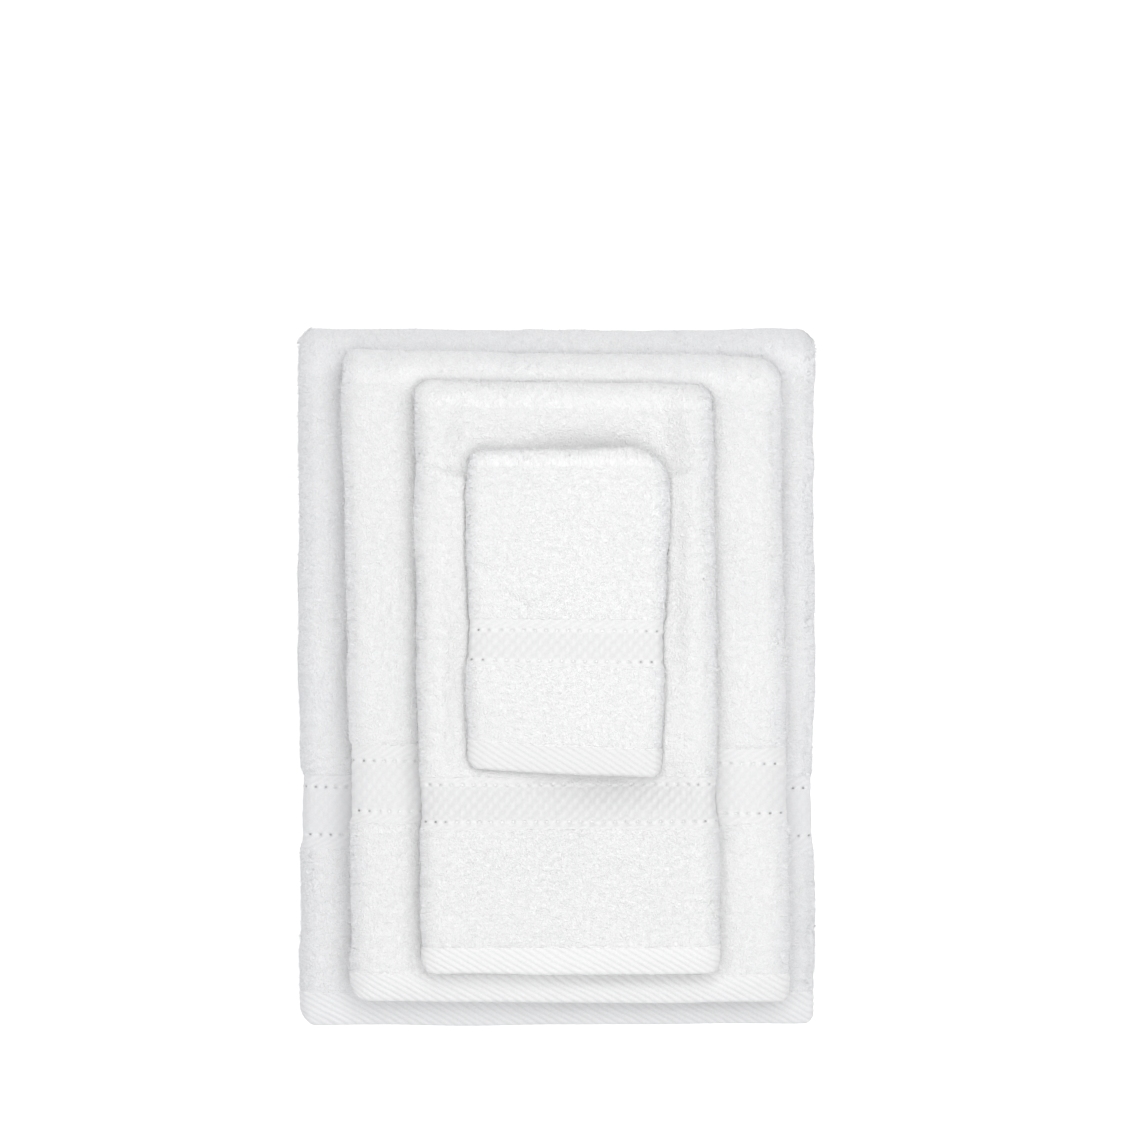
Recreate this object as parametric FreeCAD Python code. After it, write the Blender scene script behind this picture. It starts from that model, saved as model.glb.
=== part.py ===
import FreeCAD, Part
import math
import os

# Set of four folded terry towels stacked flat, largest at the bottom:
# bath sheet, bath towel, hand towel, face cloth.  Millimetres, +Z up, +Y from
# the hem end to the far crease, origin on the support surface at the middle
# of the bath sheet.
#
# Each towel is folded across its width (thirds or quarters, centre panel
# outermost) and then along its length, so its cross-section is a pile of
# leaves joined by a full-round fold at the far end.  The leaf zones are the
# real cloth zones: terry field, woven border band, terry end strip, ribbed
# hem, and the sewing thread of the hem.

os.makedirs("parts", exist_ok=True)

# ---------------------------------------------------------------- dimensions
GAP = 0.3                 # air between different bodies
SHEET_LAYER = 2.875       # one terry layer, pile included, under the stack's own weight
STITCH_PITCH = 6.0        # lockstitch pitch of the hem seam
STITCH_LEN = 4.6
STITCH_W = 0.5
STITCH_H = 0.4
SEAM_W = 0.8              # seam groove the thread lies in
SEAM_D = 0.6

# name, centre x, near y, far y, width, height, leaves along the length,
# border band near y and far y, hem top y (sewn edge), plan corner radii
# (near left, near right, far right, far left), edge rounding of one side fold
BATH_SHEET = dict(name="bath_sheet", cx=0.0, yn=-177.1, yf=177.1, w=264.0, h=46.0,
                  leaves=4, band=(-85.4, -49.0), hem=-157.5,
                  corners=(4.0, 4.0, 7.0, 6.0), edge=5.6)
BATH_TOWEL = dict(name="bath_towel", cx=4.6, yn=-161.1, yf=163.8, w=220.5, h=36.0,
                  leaves=4, band=(-70.5, -32.4), hem=-144.9,
                  corners=(5.0, 4.0, 10.0, 7.0), edge=4.4)
HAND_TOWEL = dict(name="hand_towel", cx=5.3, yn=-144.1, yf=146.0, w=149.3, h=26.0,
                  leaves=3, band=(-72.4, -47.4), hem=-131.1,
                  corners=(5.0, 4.0, 7.0, 6.0), edge=4.2)
FACE_CLOTH = dict(name="face_cloth", cx=5.5, yn=-44.5, yf=113.0, w=98.5, h=17.0,
                  leaves=2, band=(8.3, 30.2), hem=-31.0,
                  corners=(4.0, 4.0, 14.0, 6.0), edge=4.1)
STACK = [BATH_SHEET, BATH_TOWEL, HAND_TOWEL, FACE_CLOTH]

z = 0.0
for t in STACK:
    t["z0"] = z
    z += t["h"] + GAP


# ------------------------------------------------------------------- helpers
def rounded_plan(x0, x1, y0, y1, radii):
    """Closed wire in XY with a radius at each corner, counter-clockwise from
    the near left corner."""
    corners = [(x0, y0), (x1, y0), (x1, y1), (x0, y1)]
    edges, ends = [], []
    for k in range(4):
        px, py = corners[k]
        ax, ay = corners[k - 1]
        bx, by = corners[(k + 1) % 4]
        r = radii[k]
        ia = ((ax > px) - (ax < px), (ay > py) - (ay < py))
        ib = ((bx > px) - (bx < px), (by > py) - (by < py))
        a = FreeCAD.Vector(px + ia[0] * r, py + ia[1] * r, 0)
        b = FreeCAD.Vector(px + ib[0] * r, py + ib[1] * r, 0)
        c = FreeCAD.Vector(px + (ia[0] + ib[0]) * r, py + (ia[1] + ib[1]) * r, 0)
        toward = FreeCAD.Vector(px, py, 0) - c
        m = c + toward * (r / toward.Length)
        ends.append((a, m, b))
    for k in range(4):
        a, m, b = ends[k]
        edges.append(Part.Arc(a, m, b).toShape())
        edges.append(Part.LineSegment(b, ends[(k + 1) % 4][0]).toShape())
    return Part.Wire(edges)


def plan_block(t, z0, z1):
    w = rounded_plan(t["cx"] - t["w"] / 2, t["cx"] + t["w"] / 2, t["yn"], t["yf"], t["corners"])
    s = Part.Face(w).extrude(FreeCAD.Vector(0, 0, z1 - z0))
    s.translate(FreeCAD.Vector(0, 0, z0))
    return s


def side_block(t):
    """YZ outline: a near end with small radii and a full-round far end."""
    yn, yf, z0, h = t["yn"], t["yf"], t["z0"], t["h"]
    r = h / 2.0
    yc = yf - r
    q = min(3.0, h / 6.0)
    V = FreeCAD.Vector
    c45 = q * (1 - math.sqrt(0.5))
    e = [
        Part.Arc(V(0, yn, z0 + q), V(0, yn + c45, z0 + c45), V(0, yn + q, z0)).toShape(),
        Part.LineSegment(V(0, yn + q, z0), V(0, yc, z0)).toShape(),
        Part.Arc(V(0, yc, z0), V(0, yf, z0 + r), V(0, yc, z0 + h)).toShape(),
        Part.LineSegment(V(0, yc, z0 + h), V(0, yn + q, z0 + h)).toShape(),
        Part.Arc(V(0, yn + q, z0 + h), V(0, yn + c45, z0 + h - c45), V(0, yn, z0 + h - q)).toShape(),
        Part.LineSegment(V(0, yn, z0 + h - q), V(0, yn, z0 + q)).toShape(),
    ]
    s = Part.Face(Part.Wire(e)).extrude(V(t["w"] + 20, 0, 0))
    s.translate(V(t["cx"] - t["w"] / 2 - 10, 0, 0))
    return s


def end_block(t):
    """XZ outline: rounded side folds."""
    x0, x1 = t["cx"] - t["w"] / 2, t["cx"] + t["w"] / 2
    w = rounded_plan(x0, x1, 0, t["h"], (t["edge"],) * 4)
    s = Part.Face(w).extrude(FreeCAD.Vector(0, 0, t["yf"] - t["yn"] + 20))
    s.rotate(FreeCAD.Vector(0, 0, 0), FreeCAD.Vector(1, 0, 0), 90)
    s.translate(FreeCAD.Vector(0, t["yf"] + 10, t["z0"]))
    return s


def span(t, y0, y1, z0, z1):
    return Part.makeBox(t["w"] + 10, y1 - y0, z1 - z0,
                        FreeCAD.Vector(t["cx"] - t["w"] / 2 - 5, y0, z0))


def cut_out(outer, t, y0, y1, z0, z1):
    s = outer.common(span(t, y0, y1, z0, z1))
    return s.Solids[0] if len(s.Solids) == 1 else s


def save(name, shape):
    assert shape.isValid() and shape.Volume > 0, name
    shape.exportStep("parts/%s.step" % name)
    b = shape.BoundBox
    print("%-28s vol %9.1f cm3 %8.3f  x %7.1f %7.1f  y %7.1f %7.1f  z %6.1f %6.1f" % (
        name, shape.Volume, shape.Volume / 1000.0, b.XMin, b.XMax, b.YMin, b.YMax, b.ZMin, b.ZMax))


# -------------------------------------------------------------------- towels
for t in STACK:
    n, z0, h = t["name"], t["z0"], t["h"]
    z1 = z0 + h
    zm = z0 + h / 2.0
    yn, yf = t["yn"], t["yf"]
    yc = yf - h / 2.0                     # axis of the far fold
    leaf = h / t["leaves"]
    b0, b1 = t["band"]
    hem = t["hem"]
    outer = side_block(t).common(end_block(t)).common(plan_block(t, z0, z1))

    # the far fold, which bends when the towel is opened
    save(n + "_far_fold", cut_out(outer, t, yc + GAP, yf + 1, z0 - 1, z1 + 1))

    # top leaf, from the hem to the far fold
    lt = z1 - leaf + (GAP / 2 if t["leaves"] < 4 else 0)
    seam = Part.makeBox(t["w"] + 10, SEAM_W, SEAM_D + 1,
                        FreeCAD.Vector(t["cx"] - t["w"] / 2 - 5, hem - SEAM_W / 2, z1 - SEAM_D))
    save(n + "_top_field", cut_out(outer, t, b1, yc, lt, z1 + 1))
    save(n + "_top_border", cut_out(outer, t, b0, b1, lt, z1 + 1))
    save(n + "_top_end_strip", cut_out(outer, t, hem, b0, lt, z1 + 1).cut(seam).Solids[0])
    save(n + "_top_hem", cut_out(outer, t, yn - 1, hem, lt, z1 + 1).cut(seam).Solids[0])

    # thread of the hem seam: one group of separate stitches in the seam groove
    span_x = t["w"] - 2 * t["edge"] - 4
    count = int(span_x // STITCH_PITCH)
    first = t["cx"] - (count - 1) * STITCH_PITCH / 2.0
    stitches = []
    for k in range(count):
        x = first + k * STITCH_PITCH
        s = Part.makeBox(STITCH_LEN, STITCH_W, STITCH_H,
                         FreeCAD.Vector(x - STITCH_LEN / 2, hem - STITCH_W / 2, z1 - SEAM_D + 0.1))
        stitches.append(s)
    save(n + "_hem_stitching", Part.Compound(stitches))

    if t["leaves"] == 4:
        # second end of the cloth, folded in below the top leaf, and the two
        # lower leaves, which are joined at the near end
        zi = zm + GAP / 2
        zt = z1 - leaf
        save(n + "_inner_field", cut_out(outer, t, b1, yc, zi, zt))
        save(n + "_inner_border", cut_out(outer, t, b0, b1, zi, zt))
        save(n + "_inner_end_strip", cut_out(outer, t, hem, b0, zi, zt))
        save(n + "_inner_hem", cut_out(outer, t, yn - 1, hem, zi, zt))
        save(n + "_lower_leaves", cut_out(outer, t, yn - 1, yc, z0 - 1, zm - GAP / 2))
    elif t["leaves"] == 3:
        # bottom third, and the tucked third above it with the second border
        # and hem at the far end
        zb = z0 + leaf
        zt = z1 - leaf - GAP / 2
        d0, d1, dh = b0 - yn, b1 - yn, hem - yn
        save(n + "_bottom_leaf", cut_out(outer, t, yn - 1, yc, z0 - 1, zb))
        save(n + "_tucked_field", cut_out(outer, t, yn - 1, yc - d1, zb, zt))
        save(n + "_tucked_border", cut_out(outer, t, yc - d1, yc - d0, zb, zt))
        save(n + "_tucked_end_strip", cut_out(outer, t, yc - d0, yc - dh, zb, zt))
        save(n + "_tucked_hem", cut_out(outer, t, yc - dh, yc, zb, zt))
    else:
        zt = zm - GAP / 2
        save(n + "_bottom_field", cut_out(outer, t, b1, yc, z0 - 1, zt))
        save(n + "_bottom_border", cut_out(outer, t, b0, b1, z0 - 1, zt))
        save(n + "_bottom_end_strip", cut_out(outer, t, hem, b0, z0 - 1, zt))
        save(n + "_bottom_hem", cut_out(outer, t, yn - 1, hem, z0 - 1, zt))
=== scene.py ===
import math

import bpy
import numpy as np
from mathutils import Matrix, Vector


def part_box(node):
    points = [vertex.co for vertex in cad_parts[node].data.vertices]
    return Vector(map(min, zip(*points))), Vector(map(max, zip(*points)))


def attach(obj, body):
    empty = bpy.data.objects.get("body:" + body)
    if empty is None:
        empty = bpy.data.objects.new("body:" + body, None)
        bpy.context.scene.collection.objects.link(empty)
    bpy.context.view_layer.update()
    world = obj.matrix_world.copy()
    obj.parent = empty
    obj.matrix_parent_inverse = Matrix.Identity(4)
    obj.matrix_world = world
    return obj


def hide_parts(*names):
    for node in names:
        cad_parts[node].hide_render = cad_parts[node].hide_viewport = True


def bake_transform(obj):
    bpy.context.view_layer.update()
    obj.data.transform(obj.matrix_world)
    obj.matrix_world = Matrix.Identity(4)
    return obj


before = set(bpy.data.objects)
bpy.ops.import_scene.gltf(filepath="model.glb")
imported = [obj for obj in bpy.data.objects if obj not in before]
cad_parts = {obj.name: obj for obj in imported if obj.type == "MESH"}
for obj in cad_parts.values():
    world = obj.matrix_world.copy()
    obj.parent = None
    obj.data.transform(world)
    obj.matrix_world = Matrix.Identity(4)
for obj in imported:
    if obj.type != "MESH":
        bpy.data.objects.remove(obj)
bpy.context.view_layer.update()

# Lengths below are in millimetres in the row frame, and become metres when a
# mesh is written.
MM = 0.001


# ------------------------------------------------------------------ noise
def table(seed, n=256):
    return np.random.default_rng(seed).uniform(-1.0, 1.0, (n, n))


_tables = {}


def noise2(x, y, scale, seed):
    """Smooth value noise in [-1, 1] at points x, y (arrays), one cell = scale."""
    if seed not in _tables:
        _tables[seed] = table(seed)
    t = _tables[seed]
    n = t.shape[0]
    u, v = np.asarray(x, float) / scale, np.asarray(y, float) / scale
    iu, iv = np.floor(u).astype(int), np.floor(v).astype(int)
    fu, fv = u - iu, v - iv
    fu = fu * fu * fu * (fu * (fu * 6 - 15) + 10)
    fv = fv * fv * fv * (fv * (fv * 6 - 15) + 10)
    a = t[iu % n, iv % n]
    b = t[(iu + 1) % n, iv % n]
    c = t[iu % n, (iv + 1) % n]
    d = t[(iu + 1) % n, (iv + 1) % n]
    return (a * (1 - fu) + b * fu) * (1 - fv) + (c * (1 - fu) + d * fu) * fv


def smooth(lo, hi, x):
    t = np.clip((x - lo) / (hi - lo), 0.0, 1.0)
    return t * t * (3 - 2 * t)


# ------------------------------------------------------- one-dimensional folds
class Path:
    """A folded line in a plane: straight runs and half-circle bends.  At every
    length along it, the point, the normal on the cloth's outer side, the index
    of the run or bend, and the share of that run or bend already passed."""

    def __init__(self):
        self.seg = []
        self.length = 0.0

    def line(self, p, q, normal):
        d = math.hypot(q[0] - p[0], q[1] - p[1])
        self.seg.append(("line", self.length, d, p, q, normal))
        self.length += d
        return self

    def arc(self, c, r, a0, a1, side):
        d = abs(math.radians(a1 - a0)) * r
        self.seg.append(("arc", self.length, d, c, r, math.radians(a0), math.radians(a1), side))
        self.length += d
        return self

    def at(self, s):
        s = np.asarray(s, float)
        px, py = np.zeros_like(s), np.zeros_like(s)
        nx, ny = np.zeros_like(s), np.zeros_like(s)
        which, share = np.zeros(s.shape, int), np.zeros_like(s)
        for k, g in enumerate(self.seg):
            first, last = k == 0, k == len(self.seg) - 1
            m = (s >= g[1] if not first else s > -1e9) & ((s < g[1] + g[2]) if not last else s < 1e9)
            t = (s[m] - g[1]) / g[2]
            which[m], share[m] = k, np.clip(t, 0, 1)
            if g[0] == "line":
                p, q, n = g[3], g[4], g[5]
                px[m] = p[0] + (q[0] - p[0]) * t
                py[m] = p[1] + (q[1] - p[1]) * t
                nx[m], ny[m] = n
            else:
                c, r, a0, a1, side = g[3:]
                a = a0 + (a1 - a0) * t
                px[m], py[m] = c[0] + r * np.cos(a), c[1] + r * np.sin(a)
                nx[m], ny[m] = side * np.cos(a), side * np.sin(a)
        return px, py, nx, ny, which, share

    def start(self, k):
        return self.seg[k][1]

    def end(self, k):
        return self.seg[k][1] + self.seg[k][2]


def across_path(x0, x1, e, layers):
    """Fold across the width, seen from the hem end; returns the path and the
    index of the centre panel, whose outer side faces out."""
    p = Path()
    if layers == 3:
        xl, xr = x0 + e, x1 - 1.5 * e
        p.line((xr - 0.6, 1.5 * e), (xl, 1.5 * e), (0, -1))
        p.arc((xl, 2 * e), 0.5 * e, 270, 90, 1)
        p.line((xl, 2.5 * e), (xr, 2.5 * e), (0, 1))
        p.arc((xr, 1.5 * e), e, 90, -90, 1)
        p.line((xr, 0.5 * e), (x0 + 2.2, 0.5 * e), (0, -1))
    else:
        xl, xr = x0 + 2 * e, x1 - e
        p.line((x1 - 2.0, 0.5 * e), (xl, 0.5 * e), (0, -1))
        p.arc((xl, 2 * e), 1.5 * e, 270, 90, 1)
        p.line((xl, 3.5 * e), (xr, 3.5 * e), (0, 1))
        p.arc((xr, 3 * e), 0.5 * e, 90, -90, 1)
        p.line((xr, 2.5 * e), (xl, 2.5 * e), (0, -1))
        p.arc((xl, 2 * e), 0.5 * e, 90, 270, -1)
        p.line((xl, 1.5 * e), (x1 - 3.2, 1.5 * e), (0, 1))
    return p, 2


def along_path(yn, yf, z0, hl, leaves):
    p = Path()
    yc = yf - leaves * hl / 2
    if leaves == 4:
        p.line((yn, z0 + 3.5 * hl), (yc, z0 + 3.5 * hl), (0, 1))
        p.arc((yc, z0 + 2 * hl), 1.5 * hl, 90, -90, 1)
        p.line((yc, z0 + 0.5 * hl), (yn + 1.5 + hl, z0 + 0.5 * hl), (0, -1))
        p.arc((yn + 1.5 + hl, z0 + hl), 0.5 * hl, 270, 90, 1)
        p.line((yn + 1.5 + hl, z0 + 1.5 * hl), (yc, z0 + 1.5 * hl), (0, 1))
        p.arc((yc, z0 + 2 * hl), 0.5 * hl, -90, 90, -1)
        p.line((yc, z0 + 2.5 * hl), (yn + 2.4, z0 + 2.5 * hl), (0, -1))
    elif leaves == 3:
        p.line((yn, z0 + 2.5 * hl), (yc, z0 + 2.5 * hl), (0, 1))
        p.arc((yc, z0 + 1.5 * hl), hl, 90, -90, 1)
        p.line((yc, z0 + 0.5 * hl), (yn + 1.4 + hl, z0 + 0.5 * hl), (0, -1))
        p.arc((yn + 1.4 + hl, z0 + hl), 0.5 * hl, 270, 90, 1)
        p.line((yn + 1.4 + hl, z0 + 1.5 * hl), (yc - 0.5, z0 + 1.5 * hl), (0, 1))
    else:
        p.line((yn, z0 + 1.5 * hl), (yc, z0 + 1.5 * hl), (0, 1))
        p.arc((yc, z0 + hl), 0.5 * hl, 90, -90, 1)
        p.line((yc, z0 + 0.5 * hl), (yn + 1.2, z0 + 0.5 * hl), (0, -1))
    return p, yc


def flap_weight(leaves, which, share):
    """1 on the opening half, 0 on the lower half, turning smoothly round the
    far folds."""
    w = np.zeros(which.shape)
    s = share * share * (3 - 2 * share)
    w[which == 0] = 1.0
    w[which == 1] = 1.0 - s[which == 1]
    if leaves == 4:
        w[which == 5] = s[which == 5]
        w[which == 6] = 1.0
    return w


# ------------------------------------------------------------------- towels
class Towel:
    def __init__(self, name, across, leaves, seed, skew, corners, sides, upper=None,
                 bulge=2.2, reach=13.0, round_w=12.0, round_d=4.0, crown=0.0, dents=(),
                 slip=(0.0, 0.0), trim=0.0, fill=4.0, creases=(), clear=None):
        self.name, self.across, self.leaves, self.seed = name, across, leaves, seed
        self.skew, self.reach, self.round_w, self.round_d = skew, reach, round_w, round_d
        lo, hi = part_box(name + "_top_field")
        self.x0, self.x1 = lo[0] / MM, hi[0] / MM
        flo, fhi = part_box(name + "_far_fold")
        self.yf, self.z0, self.z1 = fhi[1] / MM, flo[2] / MM, fhi[2] / MM
        hlo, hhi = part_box(name + "_top_hem")
        self.yn, self.hem = hlo[1] / MM, hhi[1] / MM
        blo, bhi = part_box(name + "_top_border")
        self.b0, self.b1 = blo[1] / MM, bhi[1] / MM
        self.H = self.z1 - self.z0
        self.hl = self.H / leaves
        self.e = self.hl / across
        self.th = 0.86 * self.e
        self.corners, self.sides = corners, sides
        self.upper, self.bulge, self.crown, self.dents = upper, bulge, crown, dents
        self.pa, self.centre = across_path(self.x0, self.x1, self.e, across)
        self.pb, self.yc = along_path(self.yn, self.yf, self.z0, self.hl, leaves)
        self.A, self.L = self.pa.length, self.pb.length
        self.zm = self.z0 + self.H / 2
        self.slip, self.hw = slip, self.hem - self.yn - trim
        self.fill, self.creases, self.clear = fill, creases, clear

    def askew(self, x, y):
        """The towel isn't folded or laid quite square: offsets at its four plan
        corners, bilinear between them."""
        u = np.clip((x - self.x0) / (self.x1 - self.x0), -0.1, 1.1)
        v = np.clip((y - self.yn) / (self.yf - self.yn), -0.1, 1.1)
        nl, nr, fr, fl = self.skew
        k = [(1 - u) * (1 - v) * nl[i] + u * (1 - v) * nr[i] + u * v * fr[i] + (1 - u) * v * fl[i] for i in (0, 1)]
        return k[0], k[1]

    def outline(self, x, y):
        """How far the left and right sides at y, and the near and far ends at x,
        stand from the plain rectangle."""
        left = 0.9 * noise2(y, y * 0 + 3, 38, self.seed + 3)
        right = 0.9 * noise2(y, y * 0 + 9, 42, self.seed + 5)
        # the thin woven border lets the side folds close up there
        m = smooth(self.b0 - 3, self.b0 + 3, y) * smooth(self.b1 + 3, self.b1 - 3, y)
        left = left + m * self.sides[0]
        right = right - m * self.sides[1]
        near = 0.7 * noise2(x, x * 0 + 8, 46, self.seed + 9)
        far = 0.8 * noise2(x, x * 0 + 5, 40, self.seed + 7)
        return left, right, near, far

    def outside(self, x, y):
        """Signed distance outside this towel's footprint."""
        dx, dy = self.askew(x, y)
        x, y = x - dx, y - dy
        left, right, near, far = self.outline(x, y)
        nl, nr, fr, fl = self.corners
        r = np.where(y < (self.yn + self.yf) / 2, np.where(x < (self.x0 + self.x1) / 2, nl, nr),
                     np.where(x < (self.x0 + self.x1) / 2, fl, fr))
        ex = np.maximum(self.x0 + left - x, x - self.x1 - right) + r
        ey = np.maximum(self.yn + near - y, y - self.yf - far) + r
        return np.hypot(np.maximum(ex, 0), np.maximum(ey, 0)) + np.minimum(np.maximum(ex, ey), 0) - r

    # -- shape of the resting towel, applied to every piece of it
    def warp(self, p, leaf_side):
        """p: N x 3 in mm at the ideal fold; leaf_side: leaf number from the top,
        for the small misfits between leaves."""
        x, y, z = p[:, 0].copy(), p[:, 1].copy(), p[:, 2].copy()
        cx = (self.x0 + self.x1) / 2
        half = (self.x1 - self.x0) / 2
        ym = (self.yn + self.yf) / 2
        t = (z - self.z0) / self.H                       # 0 bottom, 1 top
        rx = np.clip((x - cx) / half, -1.2, 1.2)

        # leaves don't lie exactly on each other
        inset_l = 0.5 * (leaf_side > 0) * (1 + noise2(y, leaf_side * 40.0, 45, self.seed + 1))
        inset_r = 0.5 * (leaf_side > 0) * (1 + noise2(y, leaf_side * 40.0 + 777, 45, self.seed + 2))
        x += inset_l * smooth(-0.55, -1.0, rx) - inset_r * smooth(0.55, 1.0, rx)

        # uneven outline
        left, right, near, far = self.outline(x, y)
        x += (left + 0.40 * noise2(y, z, 13, self.seed + 4)) * smooth(-0.75, -1.0, rx)
        x += (right + 0.40 * noise2(y, z, 12, self.seed + 6)) * smooth(0.75, 1.0, rx)
        y += (far + 0.3 * noise2(x, z, 12, self.seed + 8)) * smooth(self.yf - 25, self.yf, y)
        y += near * smooth(self.yn + 25, self.yn, y)

        # rounded plan corners: near left, near right, far right, far left
        for k, (sx, sy) in enumerate(((-1, -1), (1, -1), (1, 1), (-1, 1))):
            r = self.corners[k]
            ex = self.x0 if sx < 0 else self.x1
            ey = self.yn if sy < 0 else self.yf
            u = (x - ex) * sx / r + 1
            v = (y - ey) * sy / r + 1
            q = (u > 0) & (v > 0)
            uu, vv = np.clip(u, 0, 1.3), np.clip(v, 0, 1.3)
            nu = uu * np.sqrt(np.maximum(1 - vv * vv / 2, 0.15))
            nv = vv * np.sqrt(np.maximum(1 - uu * uu / 2, 0.15))
            x = np.where(q, ex + sx * r * (nu - 1), x)
            y = np.where(q, ey + sy * r * (nv - 1), y)

        # height of the top surface: pressed under the towel above, standing
        # proud round it, and falling off at the outer edges
        du, dv = self.askew(x, y)
        g = self.rise(x, y, x + du, y + dv)
        z = self.z0 + (z - self.z0) * (1 + g * smooth(0.0, 1.0, t) / self.H)
        lean = 0.5 * noise2(x, y, 60, self.seed + 10)
        z += lean * t * (1 - t) * 2

        return np.column_stack([x + du, y + dv, z])

    def rise(self, x, y, wx, wy):
        """Rise of the top surface at x, y in the towel's own square frame, which
        lies at wx, wy."""
        rim = self.round_w * (1 + 0.18 * noise2(x, y, 34, self.seed + 13))
        t = np.clip(np.minimum(x - self.x0, self.x1 - x) / rim, 0, 1)
        side = 0.62 * (1 - t) ** 2 + 0.38 * (1 - t) ** 6
        t = np.clip((y - self.yn) / 8.0, 0, 1)
        near = (1 - t) ** 2
        g = -self.round_d * side - 1.6 * near
        edge = np.minimum(np.minimum(x - self.x0, self.x1 - x), np.minimum(y - self.yn, self.yf - y))
        inner = smooth(0, 12, edge)
        if self.upper is not None:
            d = self.upper.outside(wx, wy)
            lump = 0.85 + 0.45 * noise2(x, y, 24, self.seed + 11)
            # the towel above sinks in: the pile closes up against its side, and
            # the margin swells beyond it
            g = g - 0.9 + self.fill * smooth(-2.6, 0.3, d)
            g = g + self.bulge * lump * inner * smooth(-0.4, self.reach, d)
            free = smooth(0.0, 5.0, d)
        else:
            free = 1.0
            g = g + self.crown * smooth(0, 34, edge) * (0.8 + 0.3 * noise2(x, y, 30, self.seed + 12))
        # soft hollows and rises of a folded towel
        g = g + free * inner * (0.40 * noise2(x, y, 19, self.seed + 14) + 0.45 * noise2(x, y, 47, self.seed + 15)
                                + 0.10 * noise2(x, y, 9, self.seed + 16))
        # the far folds are lumpier, where all the layers turn
        g = g + 0.75 * smooth(34, 6, self.yf - y) * noise2(x, y, 12, self.seed + 18)
        side = smooth(26, 4, np.minimum(x - self.x0, self.x1 - x))
        sign = np.where(x < (self.x0 + self.x1) / 2, 1.0, -1.0)
        along, cross = x + 0.45 * sign * y, y - 0.45 * sign * x
        pull = np.exp(-((y - self.b1 - 4) / 9.0) ** 2) + np.exp(-((y - self.b0 + 4) / 8.0) ** 2)
        g = g + free * side * pull * 0.75 * noise2(along, cross * 4.2, 15, self.seed + 17)
        if self.clear is not None:
            # behind the towel above, its opening leaf comes down here
            hy, slope, low = self.clear
            past = np.maximum(self.upper.x0 - wx, wx - self.upper.x1)
            top = slope * np.maximum(wy - hy, 0) + low + 7 * smooth(-4, 14, past) + 12 * smooth(hy + 3, hy - 12, wy)
            g = -0.45 * np.logaddexp(-g / 0.45, -top / 0.45)
        for cx, cy, wide, deep, by in self.dents:
            g = g - by * np.exp(-np.abs((wx - cx) / wide) ** 3 - ((wy - cy) / deep) ** 2)
        for ax, ay, bx, by, wide, deep in self.creases:
            k = np.clip(((wx - ax) * (bx - ax) + (wy - ay) * (by - ay)) / ((bx - ax) ** 2 + (by - ay) ** 2), 0, 1)
            off = np.hypot(wx - ax - k * (bx - ax), wy - ay - k * (by - ay))
            g = g - deep * np.sin(math.pi * (0.12 + 0.76 * k)) * (np.exp(-(off / wide) ** 2) - 0.4 * np.exp(-((off - 2.2 * wide) / wide) ** 2))
        # the border is thinner than the pile
        m = smooth(self.b0 - 1.5, self.b0 + 2.5, y) * smooth(self.b1 + 1.5, self.b1 - 2.5, y)
        return g - 0.7 * m * free

    # -- the folding itself
    def place(self, a, b, off):
        """World points (mm) of flat cloth positions a (across) and b (along),
        off mm to the outer side of the cloth's middle."""
        shape = np.broadcast(a, b, off).shape
        a, b, off = (np.broadcast_to(v, shape).ravel().astype(float) for v in (a, b, off))
        x, h, nx, nh, _, _ = self.pa.at(a)
        # the border lies a little nearer the hem than the folding alone gives
        u = np.clip((x - self.x0) / (self.x1 - self.x0), 0, 1)
        slip = self.slip[0] * (1 - u) + self.slip[1] * u
        d0, d1 = self.b0 - self.yn, self.b1 - self.yn
        near = lambda d: smooth(self.hw, d0 - 4, d) * smooth(d1 + 60, d1 + 4, d)
        b = b - slip * near(b) + slip * near(self.L - b)
        y, z, ny, nz, which, share = self.pb.at(b)
        d = h + nh * off - self.hl / 2
        # nothing passes the centre of a bend
        p = np.column_stack([x + nx * off, y + ny * d, z + nz * d])
        leaf = {4: np.array([0, 1.5, 3, 2.5, 2, 1.5, 1]), 3: np.array([0, 1, 2, 1.5, 1]),
                2: np.array([0, 0.5, 1])}[self.leaves][which]
        return self.warp(p, leaf), flap_weight(self.leaves, which, share), shape


# name, layers across, leaves along, seed, plan offsets of the near left, near
# right, far right and far left corners, plan corner radii in the same order,
# how far the side folds close at the border (left, right)
FACE = Towel("face_cloth", 3, 2, 400, ((0.4, 2.6), (-3.2, -2.2), (1.0, 1.5), (0.4, 0.5)), (6, 5, 19, 7),
             (0.9, 1.2), None, round_w=14.0, round_d=7.0, crown=1.4,
             creases=((-39.5, 59, -28, 46, 3.0, 1.0), (-27, 44, -8, 31.5, 2.6, 1.7), (-30, 36, -18, 31.5, 2.2, 1.0)), slip=(1.2, -0.2))
HAND = Towel("hand_towel", 3, 3, 300, ((2.8, 0.8), (0.8, 2.0), (-2.4, -0.4), (-0.4, 1.5)), (8, 5, 9, 7),
             (0.9, 0.8), FACE, bulge=1.8, reach=13.0, round_w=15.0, round_d=9.0, fill=7.0,
             clear=(104.5, 0.174, -2.7),
             dents=((16, 114.0, 33, 8.5, 6.5), (-30, 117, 20, 9, 2.5), (24, -48, 34, 13, 10.0), (54, 45, 9.5, 56, 4.4),
                    (-45.5, -4, 8.0, 42, 3.6)), slip=(0.8, 0.8))
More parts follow.
